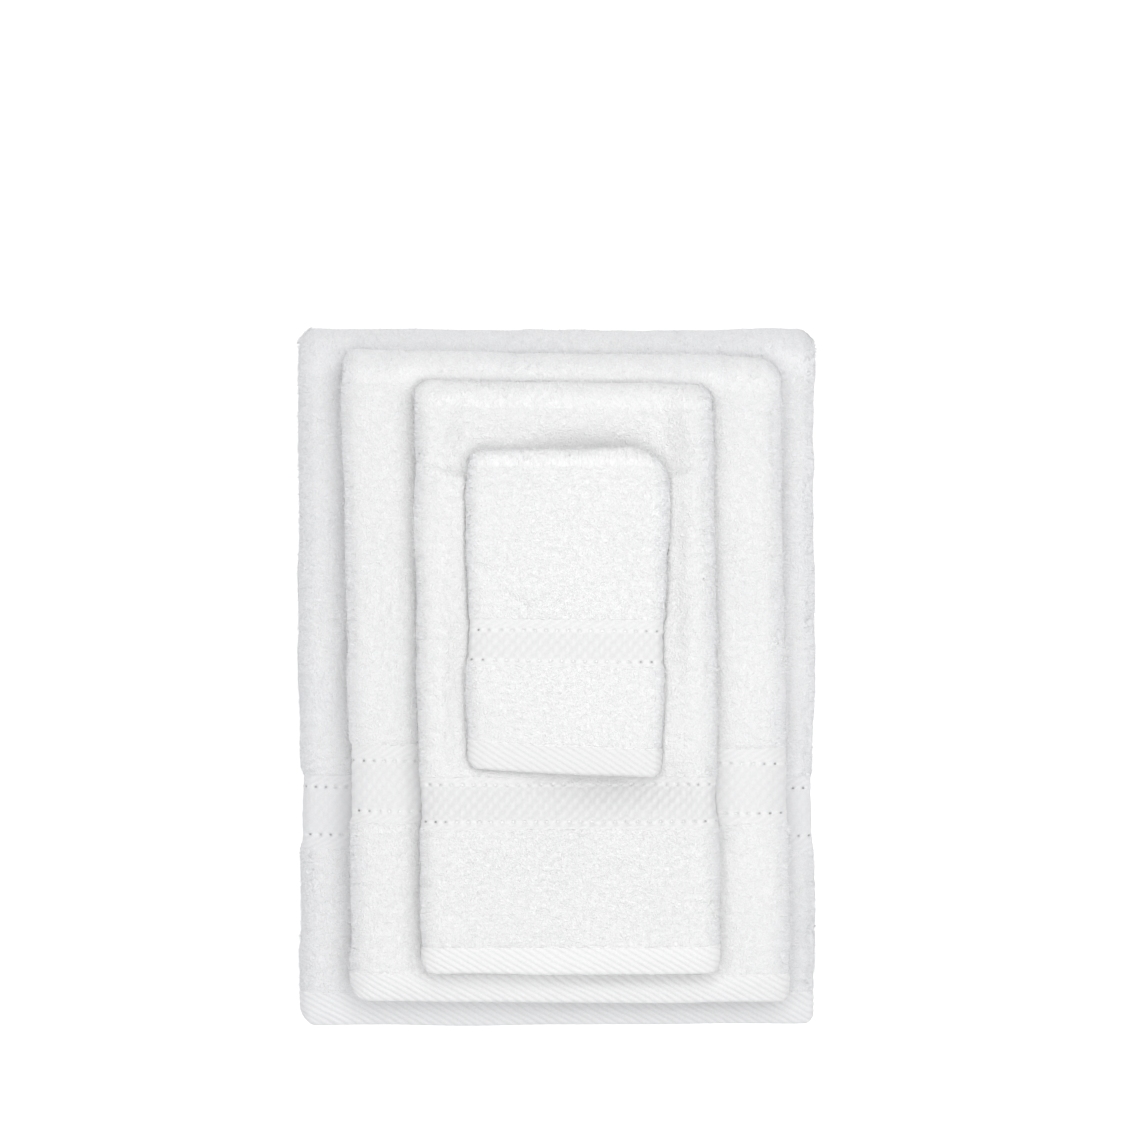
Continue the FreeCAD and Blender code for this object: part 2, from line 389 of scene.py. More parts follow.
BATH = Towel("bath_towel", 3, 4, 200, ((3.9, 2.2), (1.5, 1.7), (-3.4, -3.5), (-1.5, 1.5)), (9, 5, 11, 8),
             (1.2, 0.8), HAND, bulge=2.6, reach=14.0, round_w=19.0, round_d=10.5, fill=7.4,
             dents=((35, -146, 45, 4, 2.8), (94, 152, 28, 8, -1.6)), slip=(1.55, 1.1), trim=2.5)
SHEET = Towel("bath_sheet", 4, 4, 100, ((3.0, 2.8), (-1.8, 2.8), (-1.0, -0.5), (1.3, -0.5)), (8, 5, 9, 6),
              (1.6, 0.8), BATH, bulge=0.6, reach=10.0, round_w=20.0, round_d=7.5, fill=7.4,
              dents=((50, -163, 70, 4, 1.8), (111, 166, 18, 8, -2.0)), slip=(1.95, 2.6), trim=3.5)
TOWELS = [SHEET, BATH, HAND, FACE]

RIB_X, RIB_Y = 5.6, 3.23          # hem rib pitch across and along
HOLE_PITCH = 5.6
# distance from the hem end of each open-work row
ROWS = {"bath_sheet": (122.5, 98.3), "bath_towel": (120.8, 96.0),
        "hand_towel": (93.3, 75.2), "face_cloth": (69.4, 54.8)}


# ------------------------------------------------------------------ meshes
def make_mesh(name, verts_mm, quads, tris, uv_flat=None, uv_bake=None, smooth_shade=True):
    me = bpy.data.meshes.new(name)
    nv, nq, nt = len(verts_mm), len(quads), len(tris)
    me.vertices.add(nv)
    me.vertices.foreach_set("co", (np.asarray(verts_mm, float) * MM).astype(np.float32).ravel())
    loops = np.concatenate([np.asarray(quads, int).ravel(), np.asarray(tris, int).ravel()])
    me.loops.add(len(loops))
    me.loops.foreach_set("vertex_index", loops.astype(np.int32))
    me.polygons.add(nq + nt)
    starts = np.concatenate([np.arange(nq) * 4, nq * 4 + np.arange(nt) * 3])
    me.polygons.foreach_set("loop_start", starts.astype(np.int32))
    me.update(calc_edges=True)
    me.polygons.foreach_set("use_smooth", np.ones(nq + nt, bool))
    for lname, uv in (("flat", uv_flat), ("OFBake", uv_bake)):
        if uv is not None:
            layer = me.uv_layers.new(name=lname)
            layer.data.foreach_set("uv", np.asarray(uv, np.float32)[loops].ravel())
    me.validate()
    o = bpy.data.objects.new(name, me)
    bpy.context.collection.objects.link(o)
    return o


def steps(lo, hi, size):
    n = max(1, int(math.ceil((hi - lo) / size - 1e-6)))
    return np.linspace(lo, hi, n + 1)


def joined(parts):
    out = [parts[0]]
    for p in parts[1:]:
        out.append(p[1:])
    return np.concatenate(out)


def grid_quads(na, nb, base=0, flip=False):
    i, j = np.meshgrid(np.arange(na - 1), np.arange(nb - 1), indexing="ij")
    v = base + i * nb + j
    q = np.column_stack([v.ravel(), (v + nb).ravel(), (v + nb + 1).ravel(), (v + 1).ravel()])
    return q[:, ::-1] if flip else q


def rim(na, nb, base=0):
    """Indices round a grid, counter-clockwise seen from the front."""
    i = np.arange(na)
    j = np.arange(nb)
    low = base + i * nb
    right = base + (na - 1) * nb + j
    top = base + i[::-1] * nb + nb - 1
    left = base + j[::-1]
    return np.concatenate([low[:-1], right[:-1], top[:-1], left[:-1]])


def fringe(T, va, vb):
    """Loop ends that stand off the side folds and the far fold, where bending
    the cloth opens its pile: small closed tapering hairs rooted in the cloth."""
    rng = np.random.default_rng(T.seed + 70)
    ps, pe = T.pa.start(T.centre), T.pa.end(T.centre)
    ql, qr = T.pa.seg[T.centre - 1][2] / 2, T.pa.seg[T.centre + 1][2] / 2
    f0, fh = T.pb.start(1), T.pb.seg[1][2] / 2
    band0, band1 = T.b0 - T.yn, T.b1 - T.yn
    n = int(8 * f0)
    al, ar = ps + rng.uniform(-1.2 * ql, 2.5, n), pe + rng.uniform(-2.5, 1.2 * qr, n)
    bl, br = rng.uniform(T.hw + 1, f0 + fh, n), rng.uniform(T.hw + 1, f0 + fh, n)
    m = int(8 * (pe - ps))
    af, bf = rng.uniform(ps - ql, pe + qr, m), f0 + rng.uniform(0.2, 1.2, m) * fh
    a0, b0 = np.concatenate([al, ar, af]), np.concatenate([bl, br, bf])
    n = len(a0)
    length = rng.uniform(0.6, 2.0, n)
    da, db = rng.normal(0, 0.6, n), rng.normal(0, 0.6, n)
    keep = (b0 < band0 - 0.8) | (b0 > band1 + 0.8)
    a0, b0, length, da, db = a0[keep], b0[keep], length[keep], da[keep], db[keep]
    n = len(a0)
    ang = np.array([0, 2, 4]) * math.pi / 3
    A, B, O = np.zeros((n, 7)), np.zeros((n, 7)), np.zeros((n, 7))
    for k, (t, r) in enumerate(((0.0, 0.14), (0.55, 0.11))):
        A[:, 3 * k:3 * k + 3] = (a0 + da * t * t)[:, None] + r * np.cos(ang)
        B[:, 3 * k:3 * k + 3] = (b0 + db * t * t)[:, None] + r * np.sin(ang)
        O[:, 3 * k:3 * k + 3] = (T.th / 2 - 0.25 + (length + 0.25) * t)[:, None]
    A[:, 6], B[:, 6], O[:, 6] = a0 + da, b0 + db, T.th / 2 + length
    p, w, _ = T.place(A, B, O)
    base = np.arange(n)[:, None] * 7
    quads = np.vstack([base + np.array([k, (k + 1) % 3, 3 + (k + 1) % 3, 3 + k]) for k in range(3)])
    tris = np.vstack([base + np.array([3 + k, 3 + (k + 1) % 3, 6]) for k in range(3)] + [base + np.array([0, 2, 1])])
    flat = np.column_stack([np.repeat(a0, 7), np.repeat(b0, 7)]) * MM
    bake = np.column_stack([0.004 + 0.86 * va(np.repeat(a0, 7)), 0.004 + 0.992 * vb(np.repeat(b0, 7))])
    return p, w, quads, tris, flat, bake


def closed_sheet(T, name, a, b, back_step, front, back, edge_out, uv=None, relief=None, hairs=None):
    """A closed thin solid on a towel's fold: a fine front grid a x b at offset
    front(a, b), a coarse back grid at offset back(a, b), and a rounded rim that
    stands edge_out mm past the cloth's edge."""
    na, nb = len(a), len(b)
    ia = np.unique(np.concatenate([np.arange(0, na, back_step[0]), [na - 1]]))
    ib = np.unique(np.concatenate([np.arange(0, nb, back_step[1]), [nb - 1]]))
    A, B = np.meshgrid(a, b, indexing="ij")
    A2, B2 = np.meshgrid(a[ia], b[ib], indexing="ij")
    pf, wf, _ = T.place(A, B, front(A, B))
    pk, wk, _ = T.place(A2, B2, back(A2, B2))
    base = na * nb
    nka, nkb = len(ia), len(ib)
    r = rim(na, nb)
    # which rim points have a partner on the back
    ri, rj = r // nb, r % nb
    fa, fb = a[ri], b[rj]
    oa = np.where(ri == 0, -1.0, np.where(ri == na - 1, 1.0, 0.0)) * edge_out
    ob = np.where(rj == 0, -1.0, np.where(rj == nb - 1, 1.0, 0.0)) * edge_out
    mid_off = (front(fa, fb) + back(fa, fb)) / 2
    pm, wm, _ = T.place(fa + oa, fb + ob, mid_off)
    verts = np.vstack([pf, pk, pm])
    w = np.concatenate([wf, wk, wm])
    rb = base + nka * nkb
    quads = [grid_quads(na, nb), grid_quads(nka, nkb, base, flip=True)]
    n = len(r)
    k = np.arange(n)
    k2 = (k + 1) % n
    quads.append(np.column_stack([r[k], rb + k, rb + k2, r[k2]]))
    # fans between the middle ring and the back
    pos_a = {int(v): q for q, v in enumerate(ia)}
    pos_b = {int(v): q for q, v in enumerate(ib)}
    has = np.array([(int(i) in pos_a) and (int(j) in pos_b) for i, j in zip(ri, rj)])
    idx = np.flatnonzero(has)
    tris = []
    for s in range(len(idx)):
        k0 = idx[s]
        k1 = idx[(s + 1) % len(idx)]
        b0 = base + pos_a[int(ri[k0])] * nkb + pos_b[int(rj[k0])]
        b1 = base + pos_a[int(ri[k1])] * nkb + pos_b[int(rj[k1])]
        m = k0
        while m != k1:
            m2 = (m + 1) % n
            tris.append((b0, rb + m2, rb + m))
            m = m2
        tris.append((b0, b1, rb + k1))
    tris = np.array(tris, int)[:, ::-1]
    flat = np.vstack([np.column_stack([A.ravel(), B.ravel()]), np.column_stack([A2.ravel(), B2.ravel()]),
                      np.column_stack([fa + oa, fb + ob])]) * MM
    bake = None
    if uv is not None:
        ua, vb = uv
        u_f, v_f = ua(A.ravel()), vb(B.ravel())
        u_k, v_k = ua(A2.ravel()), vb(B2.ravel())
        u_m, v_m = ua(fa), vb(fb)
        f = np.column_stack([0.004 + 0.86 * u_f, 0.004 + 0.992 * v_f])
        kk = np.column_stack([0.874 + 0.12 * u_k, 0.004 + 0.992 * v_k])
        mm = np.column_stack([0.004 + 0.86 * u_m + 0.003 * np.sign(oa), 0.004 + 0.992 * v_m + 0.003 * np.sign(ob)])
        bake = np.vstack([f, kk, mm])
    if hairs is not None:
        hp, hw, hq, ht, hf, hb = hairs
        quads.append(hq + len(verts))
        tris = np.vstack([tris, ht + len(verts)])
        verts, w = np.vstack([verts, hp]), np.concatenate([w, hw])
        flat, bake = np.vstack([flat, hf]), np.vstack([bake, hb])
    o = make_mesh(name, verts, np.vstack(quads), tris, flat, bake)
    # how open the weave is and how much shade is painted into its colour at each point: 1 on the crests, 0 in a hole
    tone = np.full(len(verts), 0.9)
    if relief is not None:
        tone[:na * nb] = relief(A, B).ravel()
    o.data.attributes.new("relief", "FLOAT", "POINT").data.foreach_set("value", tone.astype(np.float32))
    return o, w, A, B


def set_weights(o):
    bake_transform(o)


def spread(path, xs_visible, share):
    """Monotone map of a flat length to 0..1 that gives the visible range most of
    the room."""
    lo, hi = xs_visible
    total = path.length
    pts = [0.0, lo, hi, total]
    rest = 1 - share
    left = rest * lo / max(total - (hi - lo), 1e-6)
    vals = [0.0, left, left + share, 1.0]
    return lambda s: np.interp(s, pts, vals)


# ------------------------------------------------------------------ materials
def new_material(name):
    m = bpy.data.materials.new(name)
    m.use_nodes = True
    nt = m.node_tree
    nt.nodes.clear()
    out = nt.nodes.new("ShaderNodeOutputMaterial")
    bs = nt.nodes.new("ShaderNodeBsdfPrincipled")
    nt.links.new(bs.outputs["BSDF"], out.inputs["Surface"])
    return m, nt, bs


def add(nt, kind, **kw):
    n = nt.nodes.new(kind)
    for k, v in kw.items():
        if k in n.inputs:
            n.inputs[k].default_value = v
        else:
            setattr(n, k, v)
    return n


def math_node(nt, op, a, b=None, c=None):
    n = nt.nodes.new("ShaderNodeMath")
    n.operation = op
    for i, v in enumerate((a, b, c)):
        if v is None:
            continue
        if isinstance(v, (int, float)):
            n.inputs[i].default_value = v
        else:
            nt.links.new(v, n.inputs[i])
    return n.outputs[0]


def painted_cavity_shade(nt, color, low, mid=None):
    """Painted shade: darkens the base colour, a little cooler, where the mesh's relief attribute is low, in the
    weave's valleys and holes and on the side folds.
    """
    at = nt.nodes.new("ShaderNodeAttribute")
    at.attribute_name = "relief"
    r = nt.nodes.new("ShaderNodeValToRGB")
    r.color_ramp.elements[0].position = 0.0
    r.color_ramp.elements[0].color = (low, low * 1.005, low * 1.015, 1)
    r.color_ramp.elements[1].position = 1.0
    r.color_ramp.elements[1].color = (1, 1, 1, 1)
    if mid is not None:
        e = r.color_ramp.elements.new(0.5)
        e.color = (mid, mid * 1.003, mid * 1.01, 1)
    nt.links.new(at.outputs["Fac"], r.inputs["Fac"])
    mix = nt.nodes.new("ShaderNodeMix")
    mix.data_type = "RGBA"
    mix.blend_type = "MULTIPLY"
    mix.inputs["Factor"].default_value = 1.0
    nt.links.new(color, mix.inputs["A"])
    nt.links.new(r.outputs["Color"], mix.inputs["B"])
    return mix.outputs["Result"]


def fabric(name, base, dark, loops=0.0013, bump=0.0006, kind="terry"):
    m, nt, bs = new_material(name)
    L = nt.links.new
    uv = add(nt, "ShaderNodeUVMap", uv_map="flat")
    co = uv.outputs["UV"]
    bs.inputs["Roughness"].default_value = 0.92
    bs.inputs["Specular IOR Level"].default_value = 0.25
    bs.inputs["Sheen Weight"].default_value = 0.16 if kind == "terry" else 0.04
    bs.inputs["Sheen Roughness"].default_value = 0.55
    bs.inputs["Sheen Tint"].default_value = (1, 1, 1, 1)
    if kind == "terry":
        # tufts of loop ends, laid over by washing, in clumps
        warpn = add(nt, "ShaderNodeTexNoise", Scale=300.0, Detail=2.0)
        L(co, warpn.inputs["Vector"])
        vm = nt.nodes.new("ShaderNodeVectorMath")
        vm.operation = "MULTIPLY_ADD"
        L(warpn.outputs["Color"], vm.inputs[0])
        vm.inputs[1].default_value = (0.0020, 0.0020, 0.0020)
        L(co, vm.inputs[2])
        vo = add(nt, "ShaderNodeTexVoronoi", Scale=1.0 / loops)
        vo.feature = "SMOOTH_F1"
        vo.inputs["Smoothness"].default_value = 0.6
        L(vm.outputs[0], vo.inputs["Vector"])
        n1 = add(nt, "ShaderNodeTexNoise", Scale=1.0 / (loops * 1.15), Detail=4.0, Roughness=0.70)
        L(vm.outputs[0], n1.inputs["Vector"])
        n2 = add(nt, "ShaderNodeTexNoise", Scale=360.0, Detail=2.0, Roughness=0.5)
        L(vm.outputs[0], n2.inputs["Vector"])
        h1 = math_node(nt, "MULTIPLY", math_node(nt, "SUBTRACT", 1.0, vo.outputs["Distance"]), 0.45)
        h2 = math_node(nt, "MULTIPLY_ADD", n1.outputs["Fac"], 1.25, h1)
        h3 = math_node(nt, "MULTIPLY_ADD", n2.outputs["Fac"], 0.45, h2)
        b = add(nt, "ShaderNodeBump", Strength=1.0, Distance=bump)
        L(h3, b.inputs["Height"])
        L(b.outputs["Normal"], bs.inputs["Normal"])
        # partly painted shade between the loops: the colour follows the bump's height, darker in its valleys, with
        # some random tone from a coarser noise
        tone = math_node(nt, "MULTIPLY_ADD", n2.outputs["Fac"], 0.10, math_node(nt, "MULTIPLY", h2, 0.60))
        ramp = nt.nodes.new("ShaderNodeValToRGB")
        ramp.color_ramp.elements[0].position = 0.45
        ramp.color_ramp.elements[0].color = (*dark, 1)
        ramp.color_ramp.elements[1].position = 0.70
        ramp.color_ramp.elements[1].color = (*base, 1)
        L(tone, ramp.inputs["Fac"])
        n3 = add(nt, "ShaderNodeTexNoise", Scale=22.0, Detail=2.0)
        L(co, n3.inputs["Vector"])
        mix = nt.nodes.new("ShaderNodeMix")
        mix.data_type = "RGBA"
        mix.blend_type = "MULTIPLY"
        mix.inputs["Factor"].default_value = 1.0
        r2 = nt.nodes.new("ShaderNodeValToRGB")
        r2.color_ramp.elements[0].position = 0.3
        r2.color_ramp.elements[0].color = (0.975, 0.977, 0.982, 1)
        r2.color_ramp.elements[1].position = 0.7
        r2.color_ramp.elements[1].color = (1, 1, 1, 1)
        L(n3.outputs["Fac"], r2.inputs["Fac"])
        L(ramp.outputs["Color"], mix.inputs["A"])
        L(r2.outputs["Color"], mix.inputs["B"])
        # painted shade on the side folds, down to 0.80 of the colour
        L(painted_cavity_shade(nt, mix.outputs["Result"], 0.80, 0.93), bs.inputs["Base Color"])
    else:
        # flat weave: warp and weft yarns, with slubs
        sep = nt.nodes.new("ShaderNodeSeparateXYZ")
        L(co, sep.inputs[0])
        fx = 2 * math.pi / 0.00062
        fy = 2 * math.pi / 0.00052
        sx = math_node(nt, "SINE", math_node(nt, "MULTIPLY", sep.outputs["X"], fx))
        sy = math_node(nt, "SINE", math_node(nt, "MULTIPLY", sep.outputs["Y"], fy))
        weave = math_node(nt, "MULTIPLY", sx, sy)
        n1 = add(nt, "ShaderNodeTexNoise", Scale=900.0, Detail=3.0, Roughness=0.6)
        L(co, n1.inputs["Vector"])
        h = math_node(nt, "MULTIPLY_ADD", weave, 0.30, n1.outputs["Fac"])
        b = add(nt, "ShaderNodeBump", Strength=1.0, Distance=bump)
        L(h, b.inputs["Height"])
        L(b.outputs["Normal"], bs.inputs["Normal"])
        ramp = nt.nodes.new("ShaderNodeValToRGB")
        ramp.color_ramp.elements[0].position = 0.2
        ramp.color_ramp.elements[0].color = (*dark, 1)
        ramp.color_ramp.elements[1].position = 0.75
        ramp.color_ramp.elements[1].color = (*base, 1)
        L(h, ramp.inputs["Fac"])
        # painted shade in the border's cell valleys and holes and in the hem's rib valleys, down to 0.30 of the
        # colour; none on the thread
        L(painted_cavity_shade(nt, ramp.outputs["Color"], 0.30, 0.86), bs.inputs["Base Color"])
    return m


# painted shade: the larger towels, lower in the stack, get darker copies of the same white (the bath sheet also a
# cooler one), for the light that falls off deeper in the stack
STACK_SHADE = {"bath_sheet": (0.945, 0.947, 0.955), "bath_towel": (0.980, 0.980, 0.983),
        "hand_towel": (0.985, 0.985, 0.985), "face_cloth": (1.0, 1.0, 1.0)}
TERRY, DOBBY, HEMM, THREAD = {}, {}, {}, {}
for _n, _t in STACK_SHADE.items():
    def shade(v, t=_t):
        return tuple(v * k for k in t)
    TERRY[_n] = fabric(_n + "_terry_pile", shade(0.995), shade(0.905), loops=0.00085, bump=0.0009)
    DOBBY[_n] = fabric(_n + "_border_weave", shade(0.862), shade(0.787), bump=0.00018, kind="flat")
    _h = {"bath_sheet": 0.875, "bath_towel": 0.88, "hand_towel": 0.895, "face_cloth": 0.84}[_n]
    HEMM[_n] = fabric(_n + "_hem_weave", shade(_h), shade(_h * 0.91), bump=0.00018, kind="flat")
    THREAD[_n] = fabric(_n + "_sewing_thread", shade(0.955), shade(0.85), bump=0.0001, kind="flat")


# ------------------------------------------------------------------ pieces
def terry_height(T, a, b, amp=1.0):
    """Pile relief: single tufts, clumps of tufts and soft hollows."""
    h = tufts(T, a, b)
    h += 0.12 * noise2(a, b, 7.5, T.seed + 22) + 0.15 * noise2(a, b, 17.0, T.seed + 23)
    return amp * h


def tufts(T, a, b):
    return 0.20 * noise2(a, b, 1.8, T.seed + 20) + 0.10 * noise2(a, b, 3.3, T.seed + 21)


def fold_shade(T, a, b):
    """Painted shade on the side folds, where the rounded edge turns from the light, and partly the pile opening there
    to show the ground weave between its loops: 0 on a fold, 1 on the flat."""
    ps, pe = T.pa.start(T.centre), T.pa.end(T.centre)
    t = np.clip((np.minimum(a - ps, pe - a) + 1.5) / 7.0, 0, 1)
    return 1 - (1 - t) ** 1.5


def zone(b, lo, hi, soft=0.6):
    return smooth(lo - soft, lo + soft, b) * smooth(hi + soft, hi - soft, b)


def build_towel(T, fine, cover, other):
    """fine: grid on the visible margins; cover: under the towel above; other:
    on the hidden leaves."""
    n = T.name
    ps, pe = T.pa.start(T.centre), T.pa.end(T.centre)
    if T.upper is not None and cover > fine:
        xa = T.pa.seg[T.centre][3][0]
        u0, u1 = ps + (T.upper.x0 + 7 - xa), ps + (T.upper.x1 - 7 - xa)
        centre = joined([steps(ps, u0, fine), steps(u0, u1, cover), steps(u1, pe, fine)])
    else:
        centre = steps(ps, pe, fine)
    parts = []
    for k, g in enumerate(T.pa.seg):
        s0, s1 = T.pa.start(k), T.pa.end(k)
        if k == T.centre:
            parts.append(centre)
        elif g[0] == "arc":
            parts.append(np.linspace(s0, s1, 11 if g[4] > T.e * 0.8 else 9))
        elif k == 0:
            parts.append(joined([steps(s0, s0 + 3, 1.5), steps(s0 + 3, s1 - 6, 14), steps(s1 - 6, s1, 2.0)]))
        elif k == len(T.pa.seg) - 1:
            parts.append(joined([steps(s0, s0 + 6, 2.0), steps(s0 + 6, s1 - 3, 14), steps(s1 - 3, s1, 1.5)]))
        else:
            parts.append(joined([steps(s0, s0 + 4, 2.0), steps(s0 + 4, s1 - 4, 14), steps(s1 - 4, s1, 2.0)]))
    a = joined(parts)
    parts = []
    for k, g in enumerate(T.pb.seg):
        s0, s1 = T.pb.start(k), T.pb.end(k)
        if k == 0:
            parts.append(steps(s0, s1, fine))
        elif k == 1:
            parts.append(steps(s0, s1, max(fine * 1.2, 1.0)))
        elif g[0] == "arc":
            parts.append(np.linspace(s0, s1, 11))
        else:
            parts.append(joined([steps(s0, s0 + 2, 1.0), steps(s0 + 2, s1 - 2, other), steps(s1 - 2, s1, 1.0)]))
    b = joined(parts)
    band0, band1 = T.b0 - T.yn, T.b1 - T.yn
    hw = T.hw
    L = T.L

    def ends(bb):
        """Distance from the nearer hem end of the cloth."""
        return np.minimum(bb, L - bb)

    def held(aa):
        l, r = ps - T.pa.seg[T.centre - 1][2], pe + T.pa.seg[T.centre + 1][2]
        return smooth(l - 11, l - 8, aa) * smooth(r + 11, r + 8, aa)

    def front(aa, bb):
        d = ends(bb)
        wob = 0.45 * noise2(aa, d, 2.4, T.seed + 24) + 0.25 * noise2(aa, d, 7.0, T.seed + 25)
        border, turned = zone(d + wob, band0 + 0.7, band1 - 0.7, 1.0), smooth(hw + 0.4, hw - 1.4, d + 0.5 * wob)
        flat = np.maximum(border, turned)
        # room for the woven border's own piece, which reaches round the side folds
        dip = np.maximum(border * (0.4 + 1.3 * held(aa)), 1.7 * turned)
        # the hidden layers lie pressed against each other
        shown = smooth(ps - 15, ps - 7, aa) * smooth(pe + 15, pe + 7, aa)
        pile = shown * (terry_height(T, aa, bb) + 0.10) - 0.12 * (1 - shown)
        return T.th / 2 + pile * (1 - flat) - dip

    def back(aa, bb):
        d = ends(bb)
        flat = np.maximum(zone(d, band0, band1, 0.5), smooth(hw + 0.5, hw - 0.5, d))
        return -T.th / 2 - 0.2 * noise2(aa, bb, 16, T.seed + 30) * (1 - flat) + 0.1 * flat

    va = spread(T.pa, (ps - 14, pe + 14), 0.86)
    vb = spread(T.pb, (0.0, T.pb.end(1)), 0.74)
    # the relief attribute of the pile carries only painted shade: darker on the side folds
    relief = lambda aa, bb: 0.5 + 0.5 * fold_shade(T, aa, bb)
    o, w, A, B = closed_sheet(T, n + "_cloth", a, b, (4, 4), front, back, 0.0, (va, vb), relief,
                              fringe(T, va, vb))
    o.data.materials.append(TERRY[n])
    set_weights(o)
    return o


def ribbon(T, name, a, b, front, back, mat, relief):
    o, w, A, B = closed_sheet(T, name, a, b, (3, 3), front, back, 0.0,
                              (lambda s: (s - a[0]) / (a[-1] - a[0]), lambda s: (s - b[0]) / (b[-1] - b[0])), relief)
    o.data.materials.append(mat)
    return o, w


# how strongly the weave of each border is drawn into relief, and into painted shade in its valleys
WEAVE = {"bath_sheet": 0.35, "bath_towel": 0.55, "hand_towel": 1.0, "face_cloth": 0.85}


def hole_mask(T, a, d, row, ph):
    u = (a / HOLE_PITCH + ph) % 1.0 - 0.5
    return np.exp(-(np.hypot(u * HOLE_PITCH / 0.80, (d - row) / 0.66)) ** 4), u


def cells(a, d):
    """Raised cells of the border's weave, 0..1: brick lattice, one diagonal
    standing out more than the other."""
    r1 = np.cos(2 * math.pi * (a / HOLE_PITCH - d / 6.36))
    r2 = np.cos(2 * math.pi * (a / HOLE_PITCH + d / 6.36))
    r3 = np.cos(4 * math.pi * a / HOLE_PITCH)
    return np.clip(0.5 + 0.5 * (0.56 * r1 + 0.32 * r2 + 0.26 * r3), 0, 1) ** 0.75


def band_parts(T, a, d, top_row, low_row):
    lo, hi = min(top_row, low_row), max(top_row, low_row)
    a = a + 0.35 * noise2(a, d, 14, T.seed + 42)
    inside = smooth(lo + 0.7, lo + 1.5, d) * smooth(hi - 0.7, hi - 1.5, d)
    outside = smooth(hi + 0.7, hi + 1.4, d) + smooth(lo - 0.7, lo - 1.4, d)
    floats = 0.5 + 0.5 * np.cos(2 * math.pi * (a / HOLE_PITCH - d / 3.0))
    return a, inside, outside, cells(a, d), floats


def band_height(T, a, d, top_row, low_row):
    """Relief of the woven border at flat position a and distance d from the hem
    end."""
    amp = WEAVE[T.name]
    a, inside, outside, cell, floats = band_parts(T, a, d, top_row, low_row)
    h = amp * inside * (0.62 * cell - 0.40)
    for row, ph in ((top_row, 0.0), (low_row, 0.5)):
        hole, u = hole_mask(T, a, d, row, ph)
        h += -1.30 * hole
        # bars between the holes
        h += 0.42 * np.exp(-((d - row) / 0.85) ** 2) * smooth(0.20, 0.32, np.abs(u))
    # strips outside the rows: slanting floats over a cord
    cord = np.exp(-((np.abs(d - (top_row + low_row) / 2) - abs(top_row - low_row) / 2 - 2.2) / 0.9) ** 2)
    h += outside * (0.24 * floats + 0.22 * cord - 0.08)
    # small unevenness of a washed weave
    h += 0.14 * noise2(a, d, 5.5, T.seed + 40) + 0.18 * noise2(a, d, 18, T.seed + 41)
    return h


def band_cavity_shade(T, a, d, top_row, low_row):
    amp = WEAVE[T.name]
    a0 = a
    a, inside, outside, cell, floats = band_parts(T, a, d, top_row, low_row)
    # painted shade: darker between the raised cells and on the low parts of the floats
    r = 0.86 - 0.42 * amp * inside * (1 - cell) + outside * (0.06 - 0.18 * (1 - floats))
    # painted shade in the holes: the holes gape more towards the folds at the sides, and are painted darker there
    ps, pe = T.pa.start(T.centre), T.pa.end(T.centre)
    side = np.minimum(a0 - ps, pe - a0)
    gape = 0.32 + 0.62 * smooth(18, 4, side) + 0.30 * noise2(a0, d, 7, T.seed + 43)
    for row, ph in ((top_row, 0.0), (low_row, 0.5)):
        hole, u = hole_mask(T, a, d, row, ph)
        r = r + 0.20 * np.exp(-((d - row) / 0.8) ** 2) * smooth(0.22, 0.34, np.abs(u))
        r = r * (1 - hole * np.clip(gape, 0.12, 1.0))
    return np.clip(r, 0, 1)


def rib_height_and_shade(T, a, d):
    ph = a / RIB_X + d / RIB_Y + 0.25 * noise2(a, d, 26, T.seed + 50)
    ridge = np.sqrt(np.abs(np.cos(math.pi * ph)))  # round cords, sharp valleys
    # the second value is painted shade, darker in the valleys between the cords
    return 0.72 * ridge - 0.42 + 0.12 * noise2(a, d, 9, T.seed + 51), 0.55 + 0.45 * ridge


def build_band(T, second, step):
    n = T.name
    ps, pe = T.pa.start(T.centre), T.pa.end(T.centre)
    arc_l, arc_r = T.pa.seg[T.centre - 1][2], T.pa.seg[T.centre + 1][2]
    a = steps(ps - arc_l - 8, pe + arc_r + 8, step)
    d0, d1 = T.b0 - T.yn, T.b1 - T.yn
    top, low = ROWS[n]
    L = T.L
    if second:
        b = steps(L - d1 - 0.9, L - d0 + 0.9, step)
        dist = lambda bb: L - bb
    else:
        b = steps(d0 - 0.9, d1 + 0.9, step)
        dist = lambda bb: bb
    front = lambda aa, bb: T.th / 2 - 0.18 + band_height(T, aa, dist(bb), top, low) * fade(aa, bb)
    back = lambda aa, bb: T.th / 2 - 1.75 + 0 * aa
    relief = lambda aa, bb: band_cavity_shade(T, aa, dist(bb), top, low)

    def fade(aa, bb):
        return smooth(b[0] + 0.3, b[0] + 1.3, bb) * smooth(b[-1] - 0.3, b[-1] - 1.3, bb)

    return ribbon(T, n + ("_second_border_cloth" if second else "_border_cloth"), a, b, front, back, DOBBY[n],
                  relief)


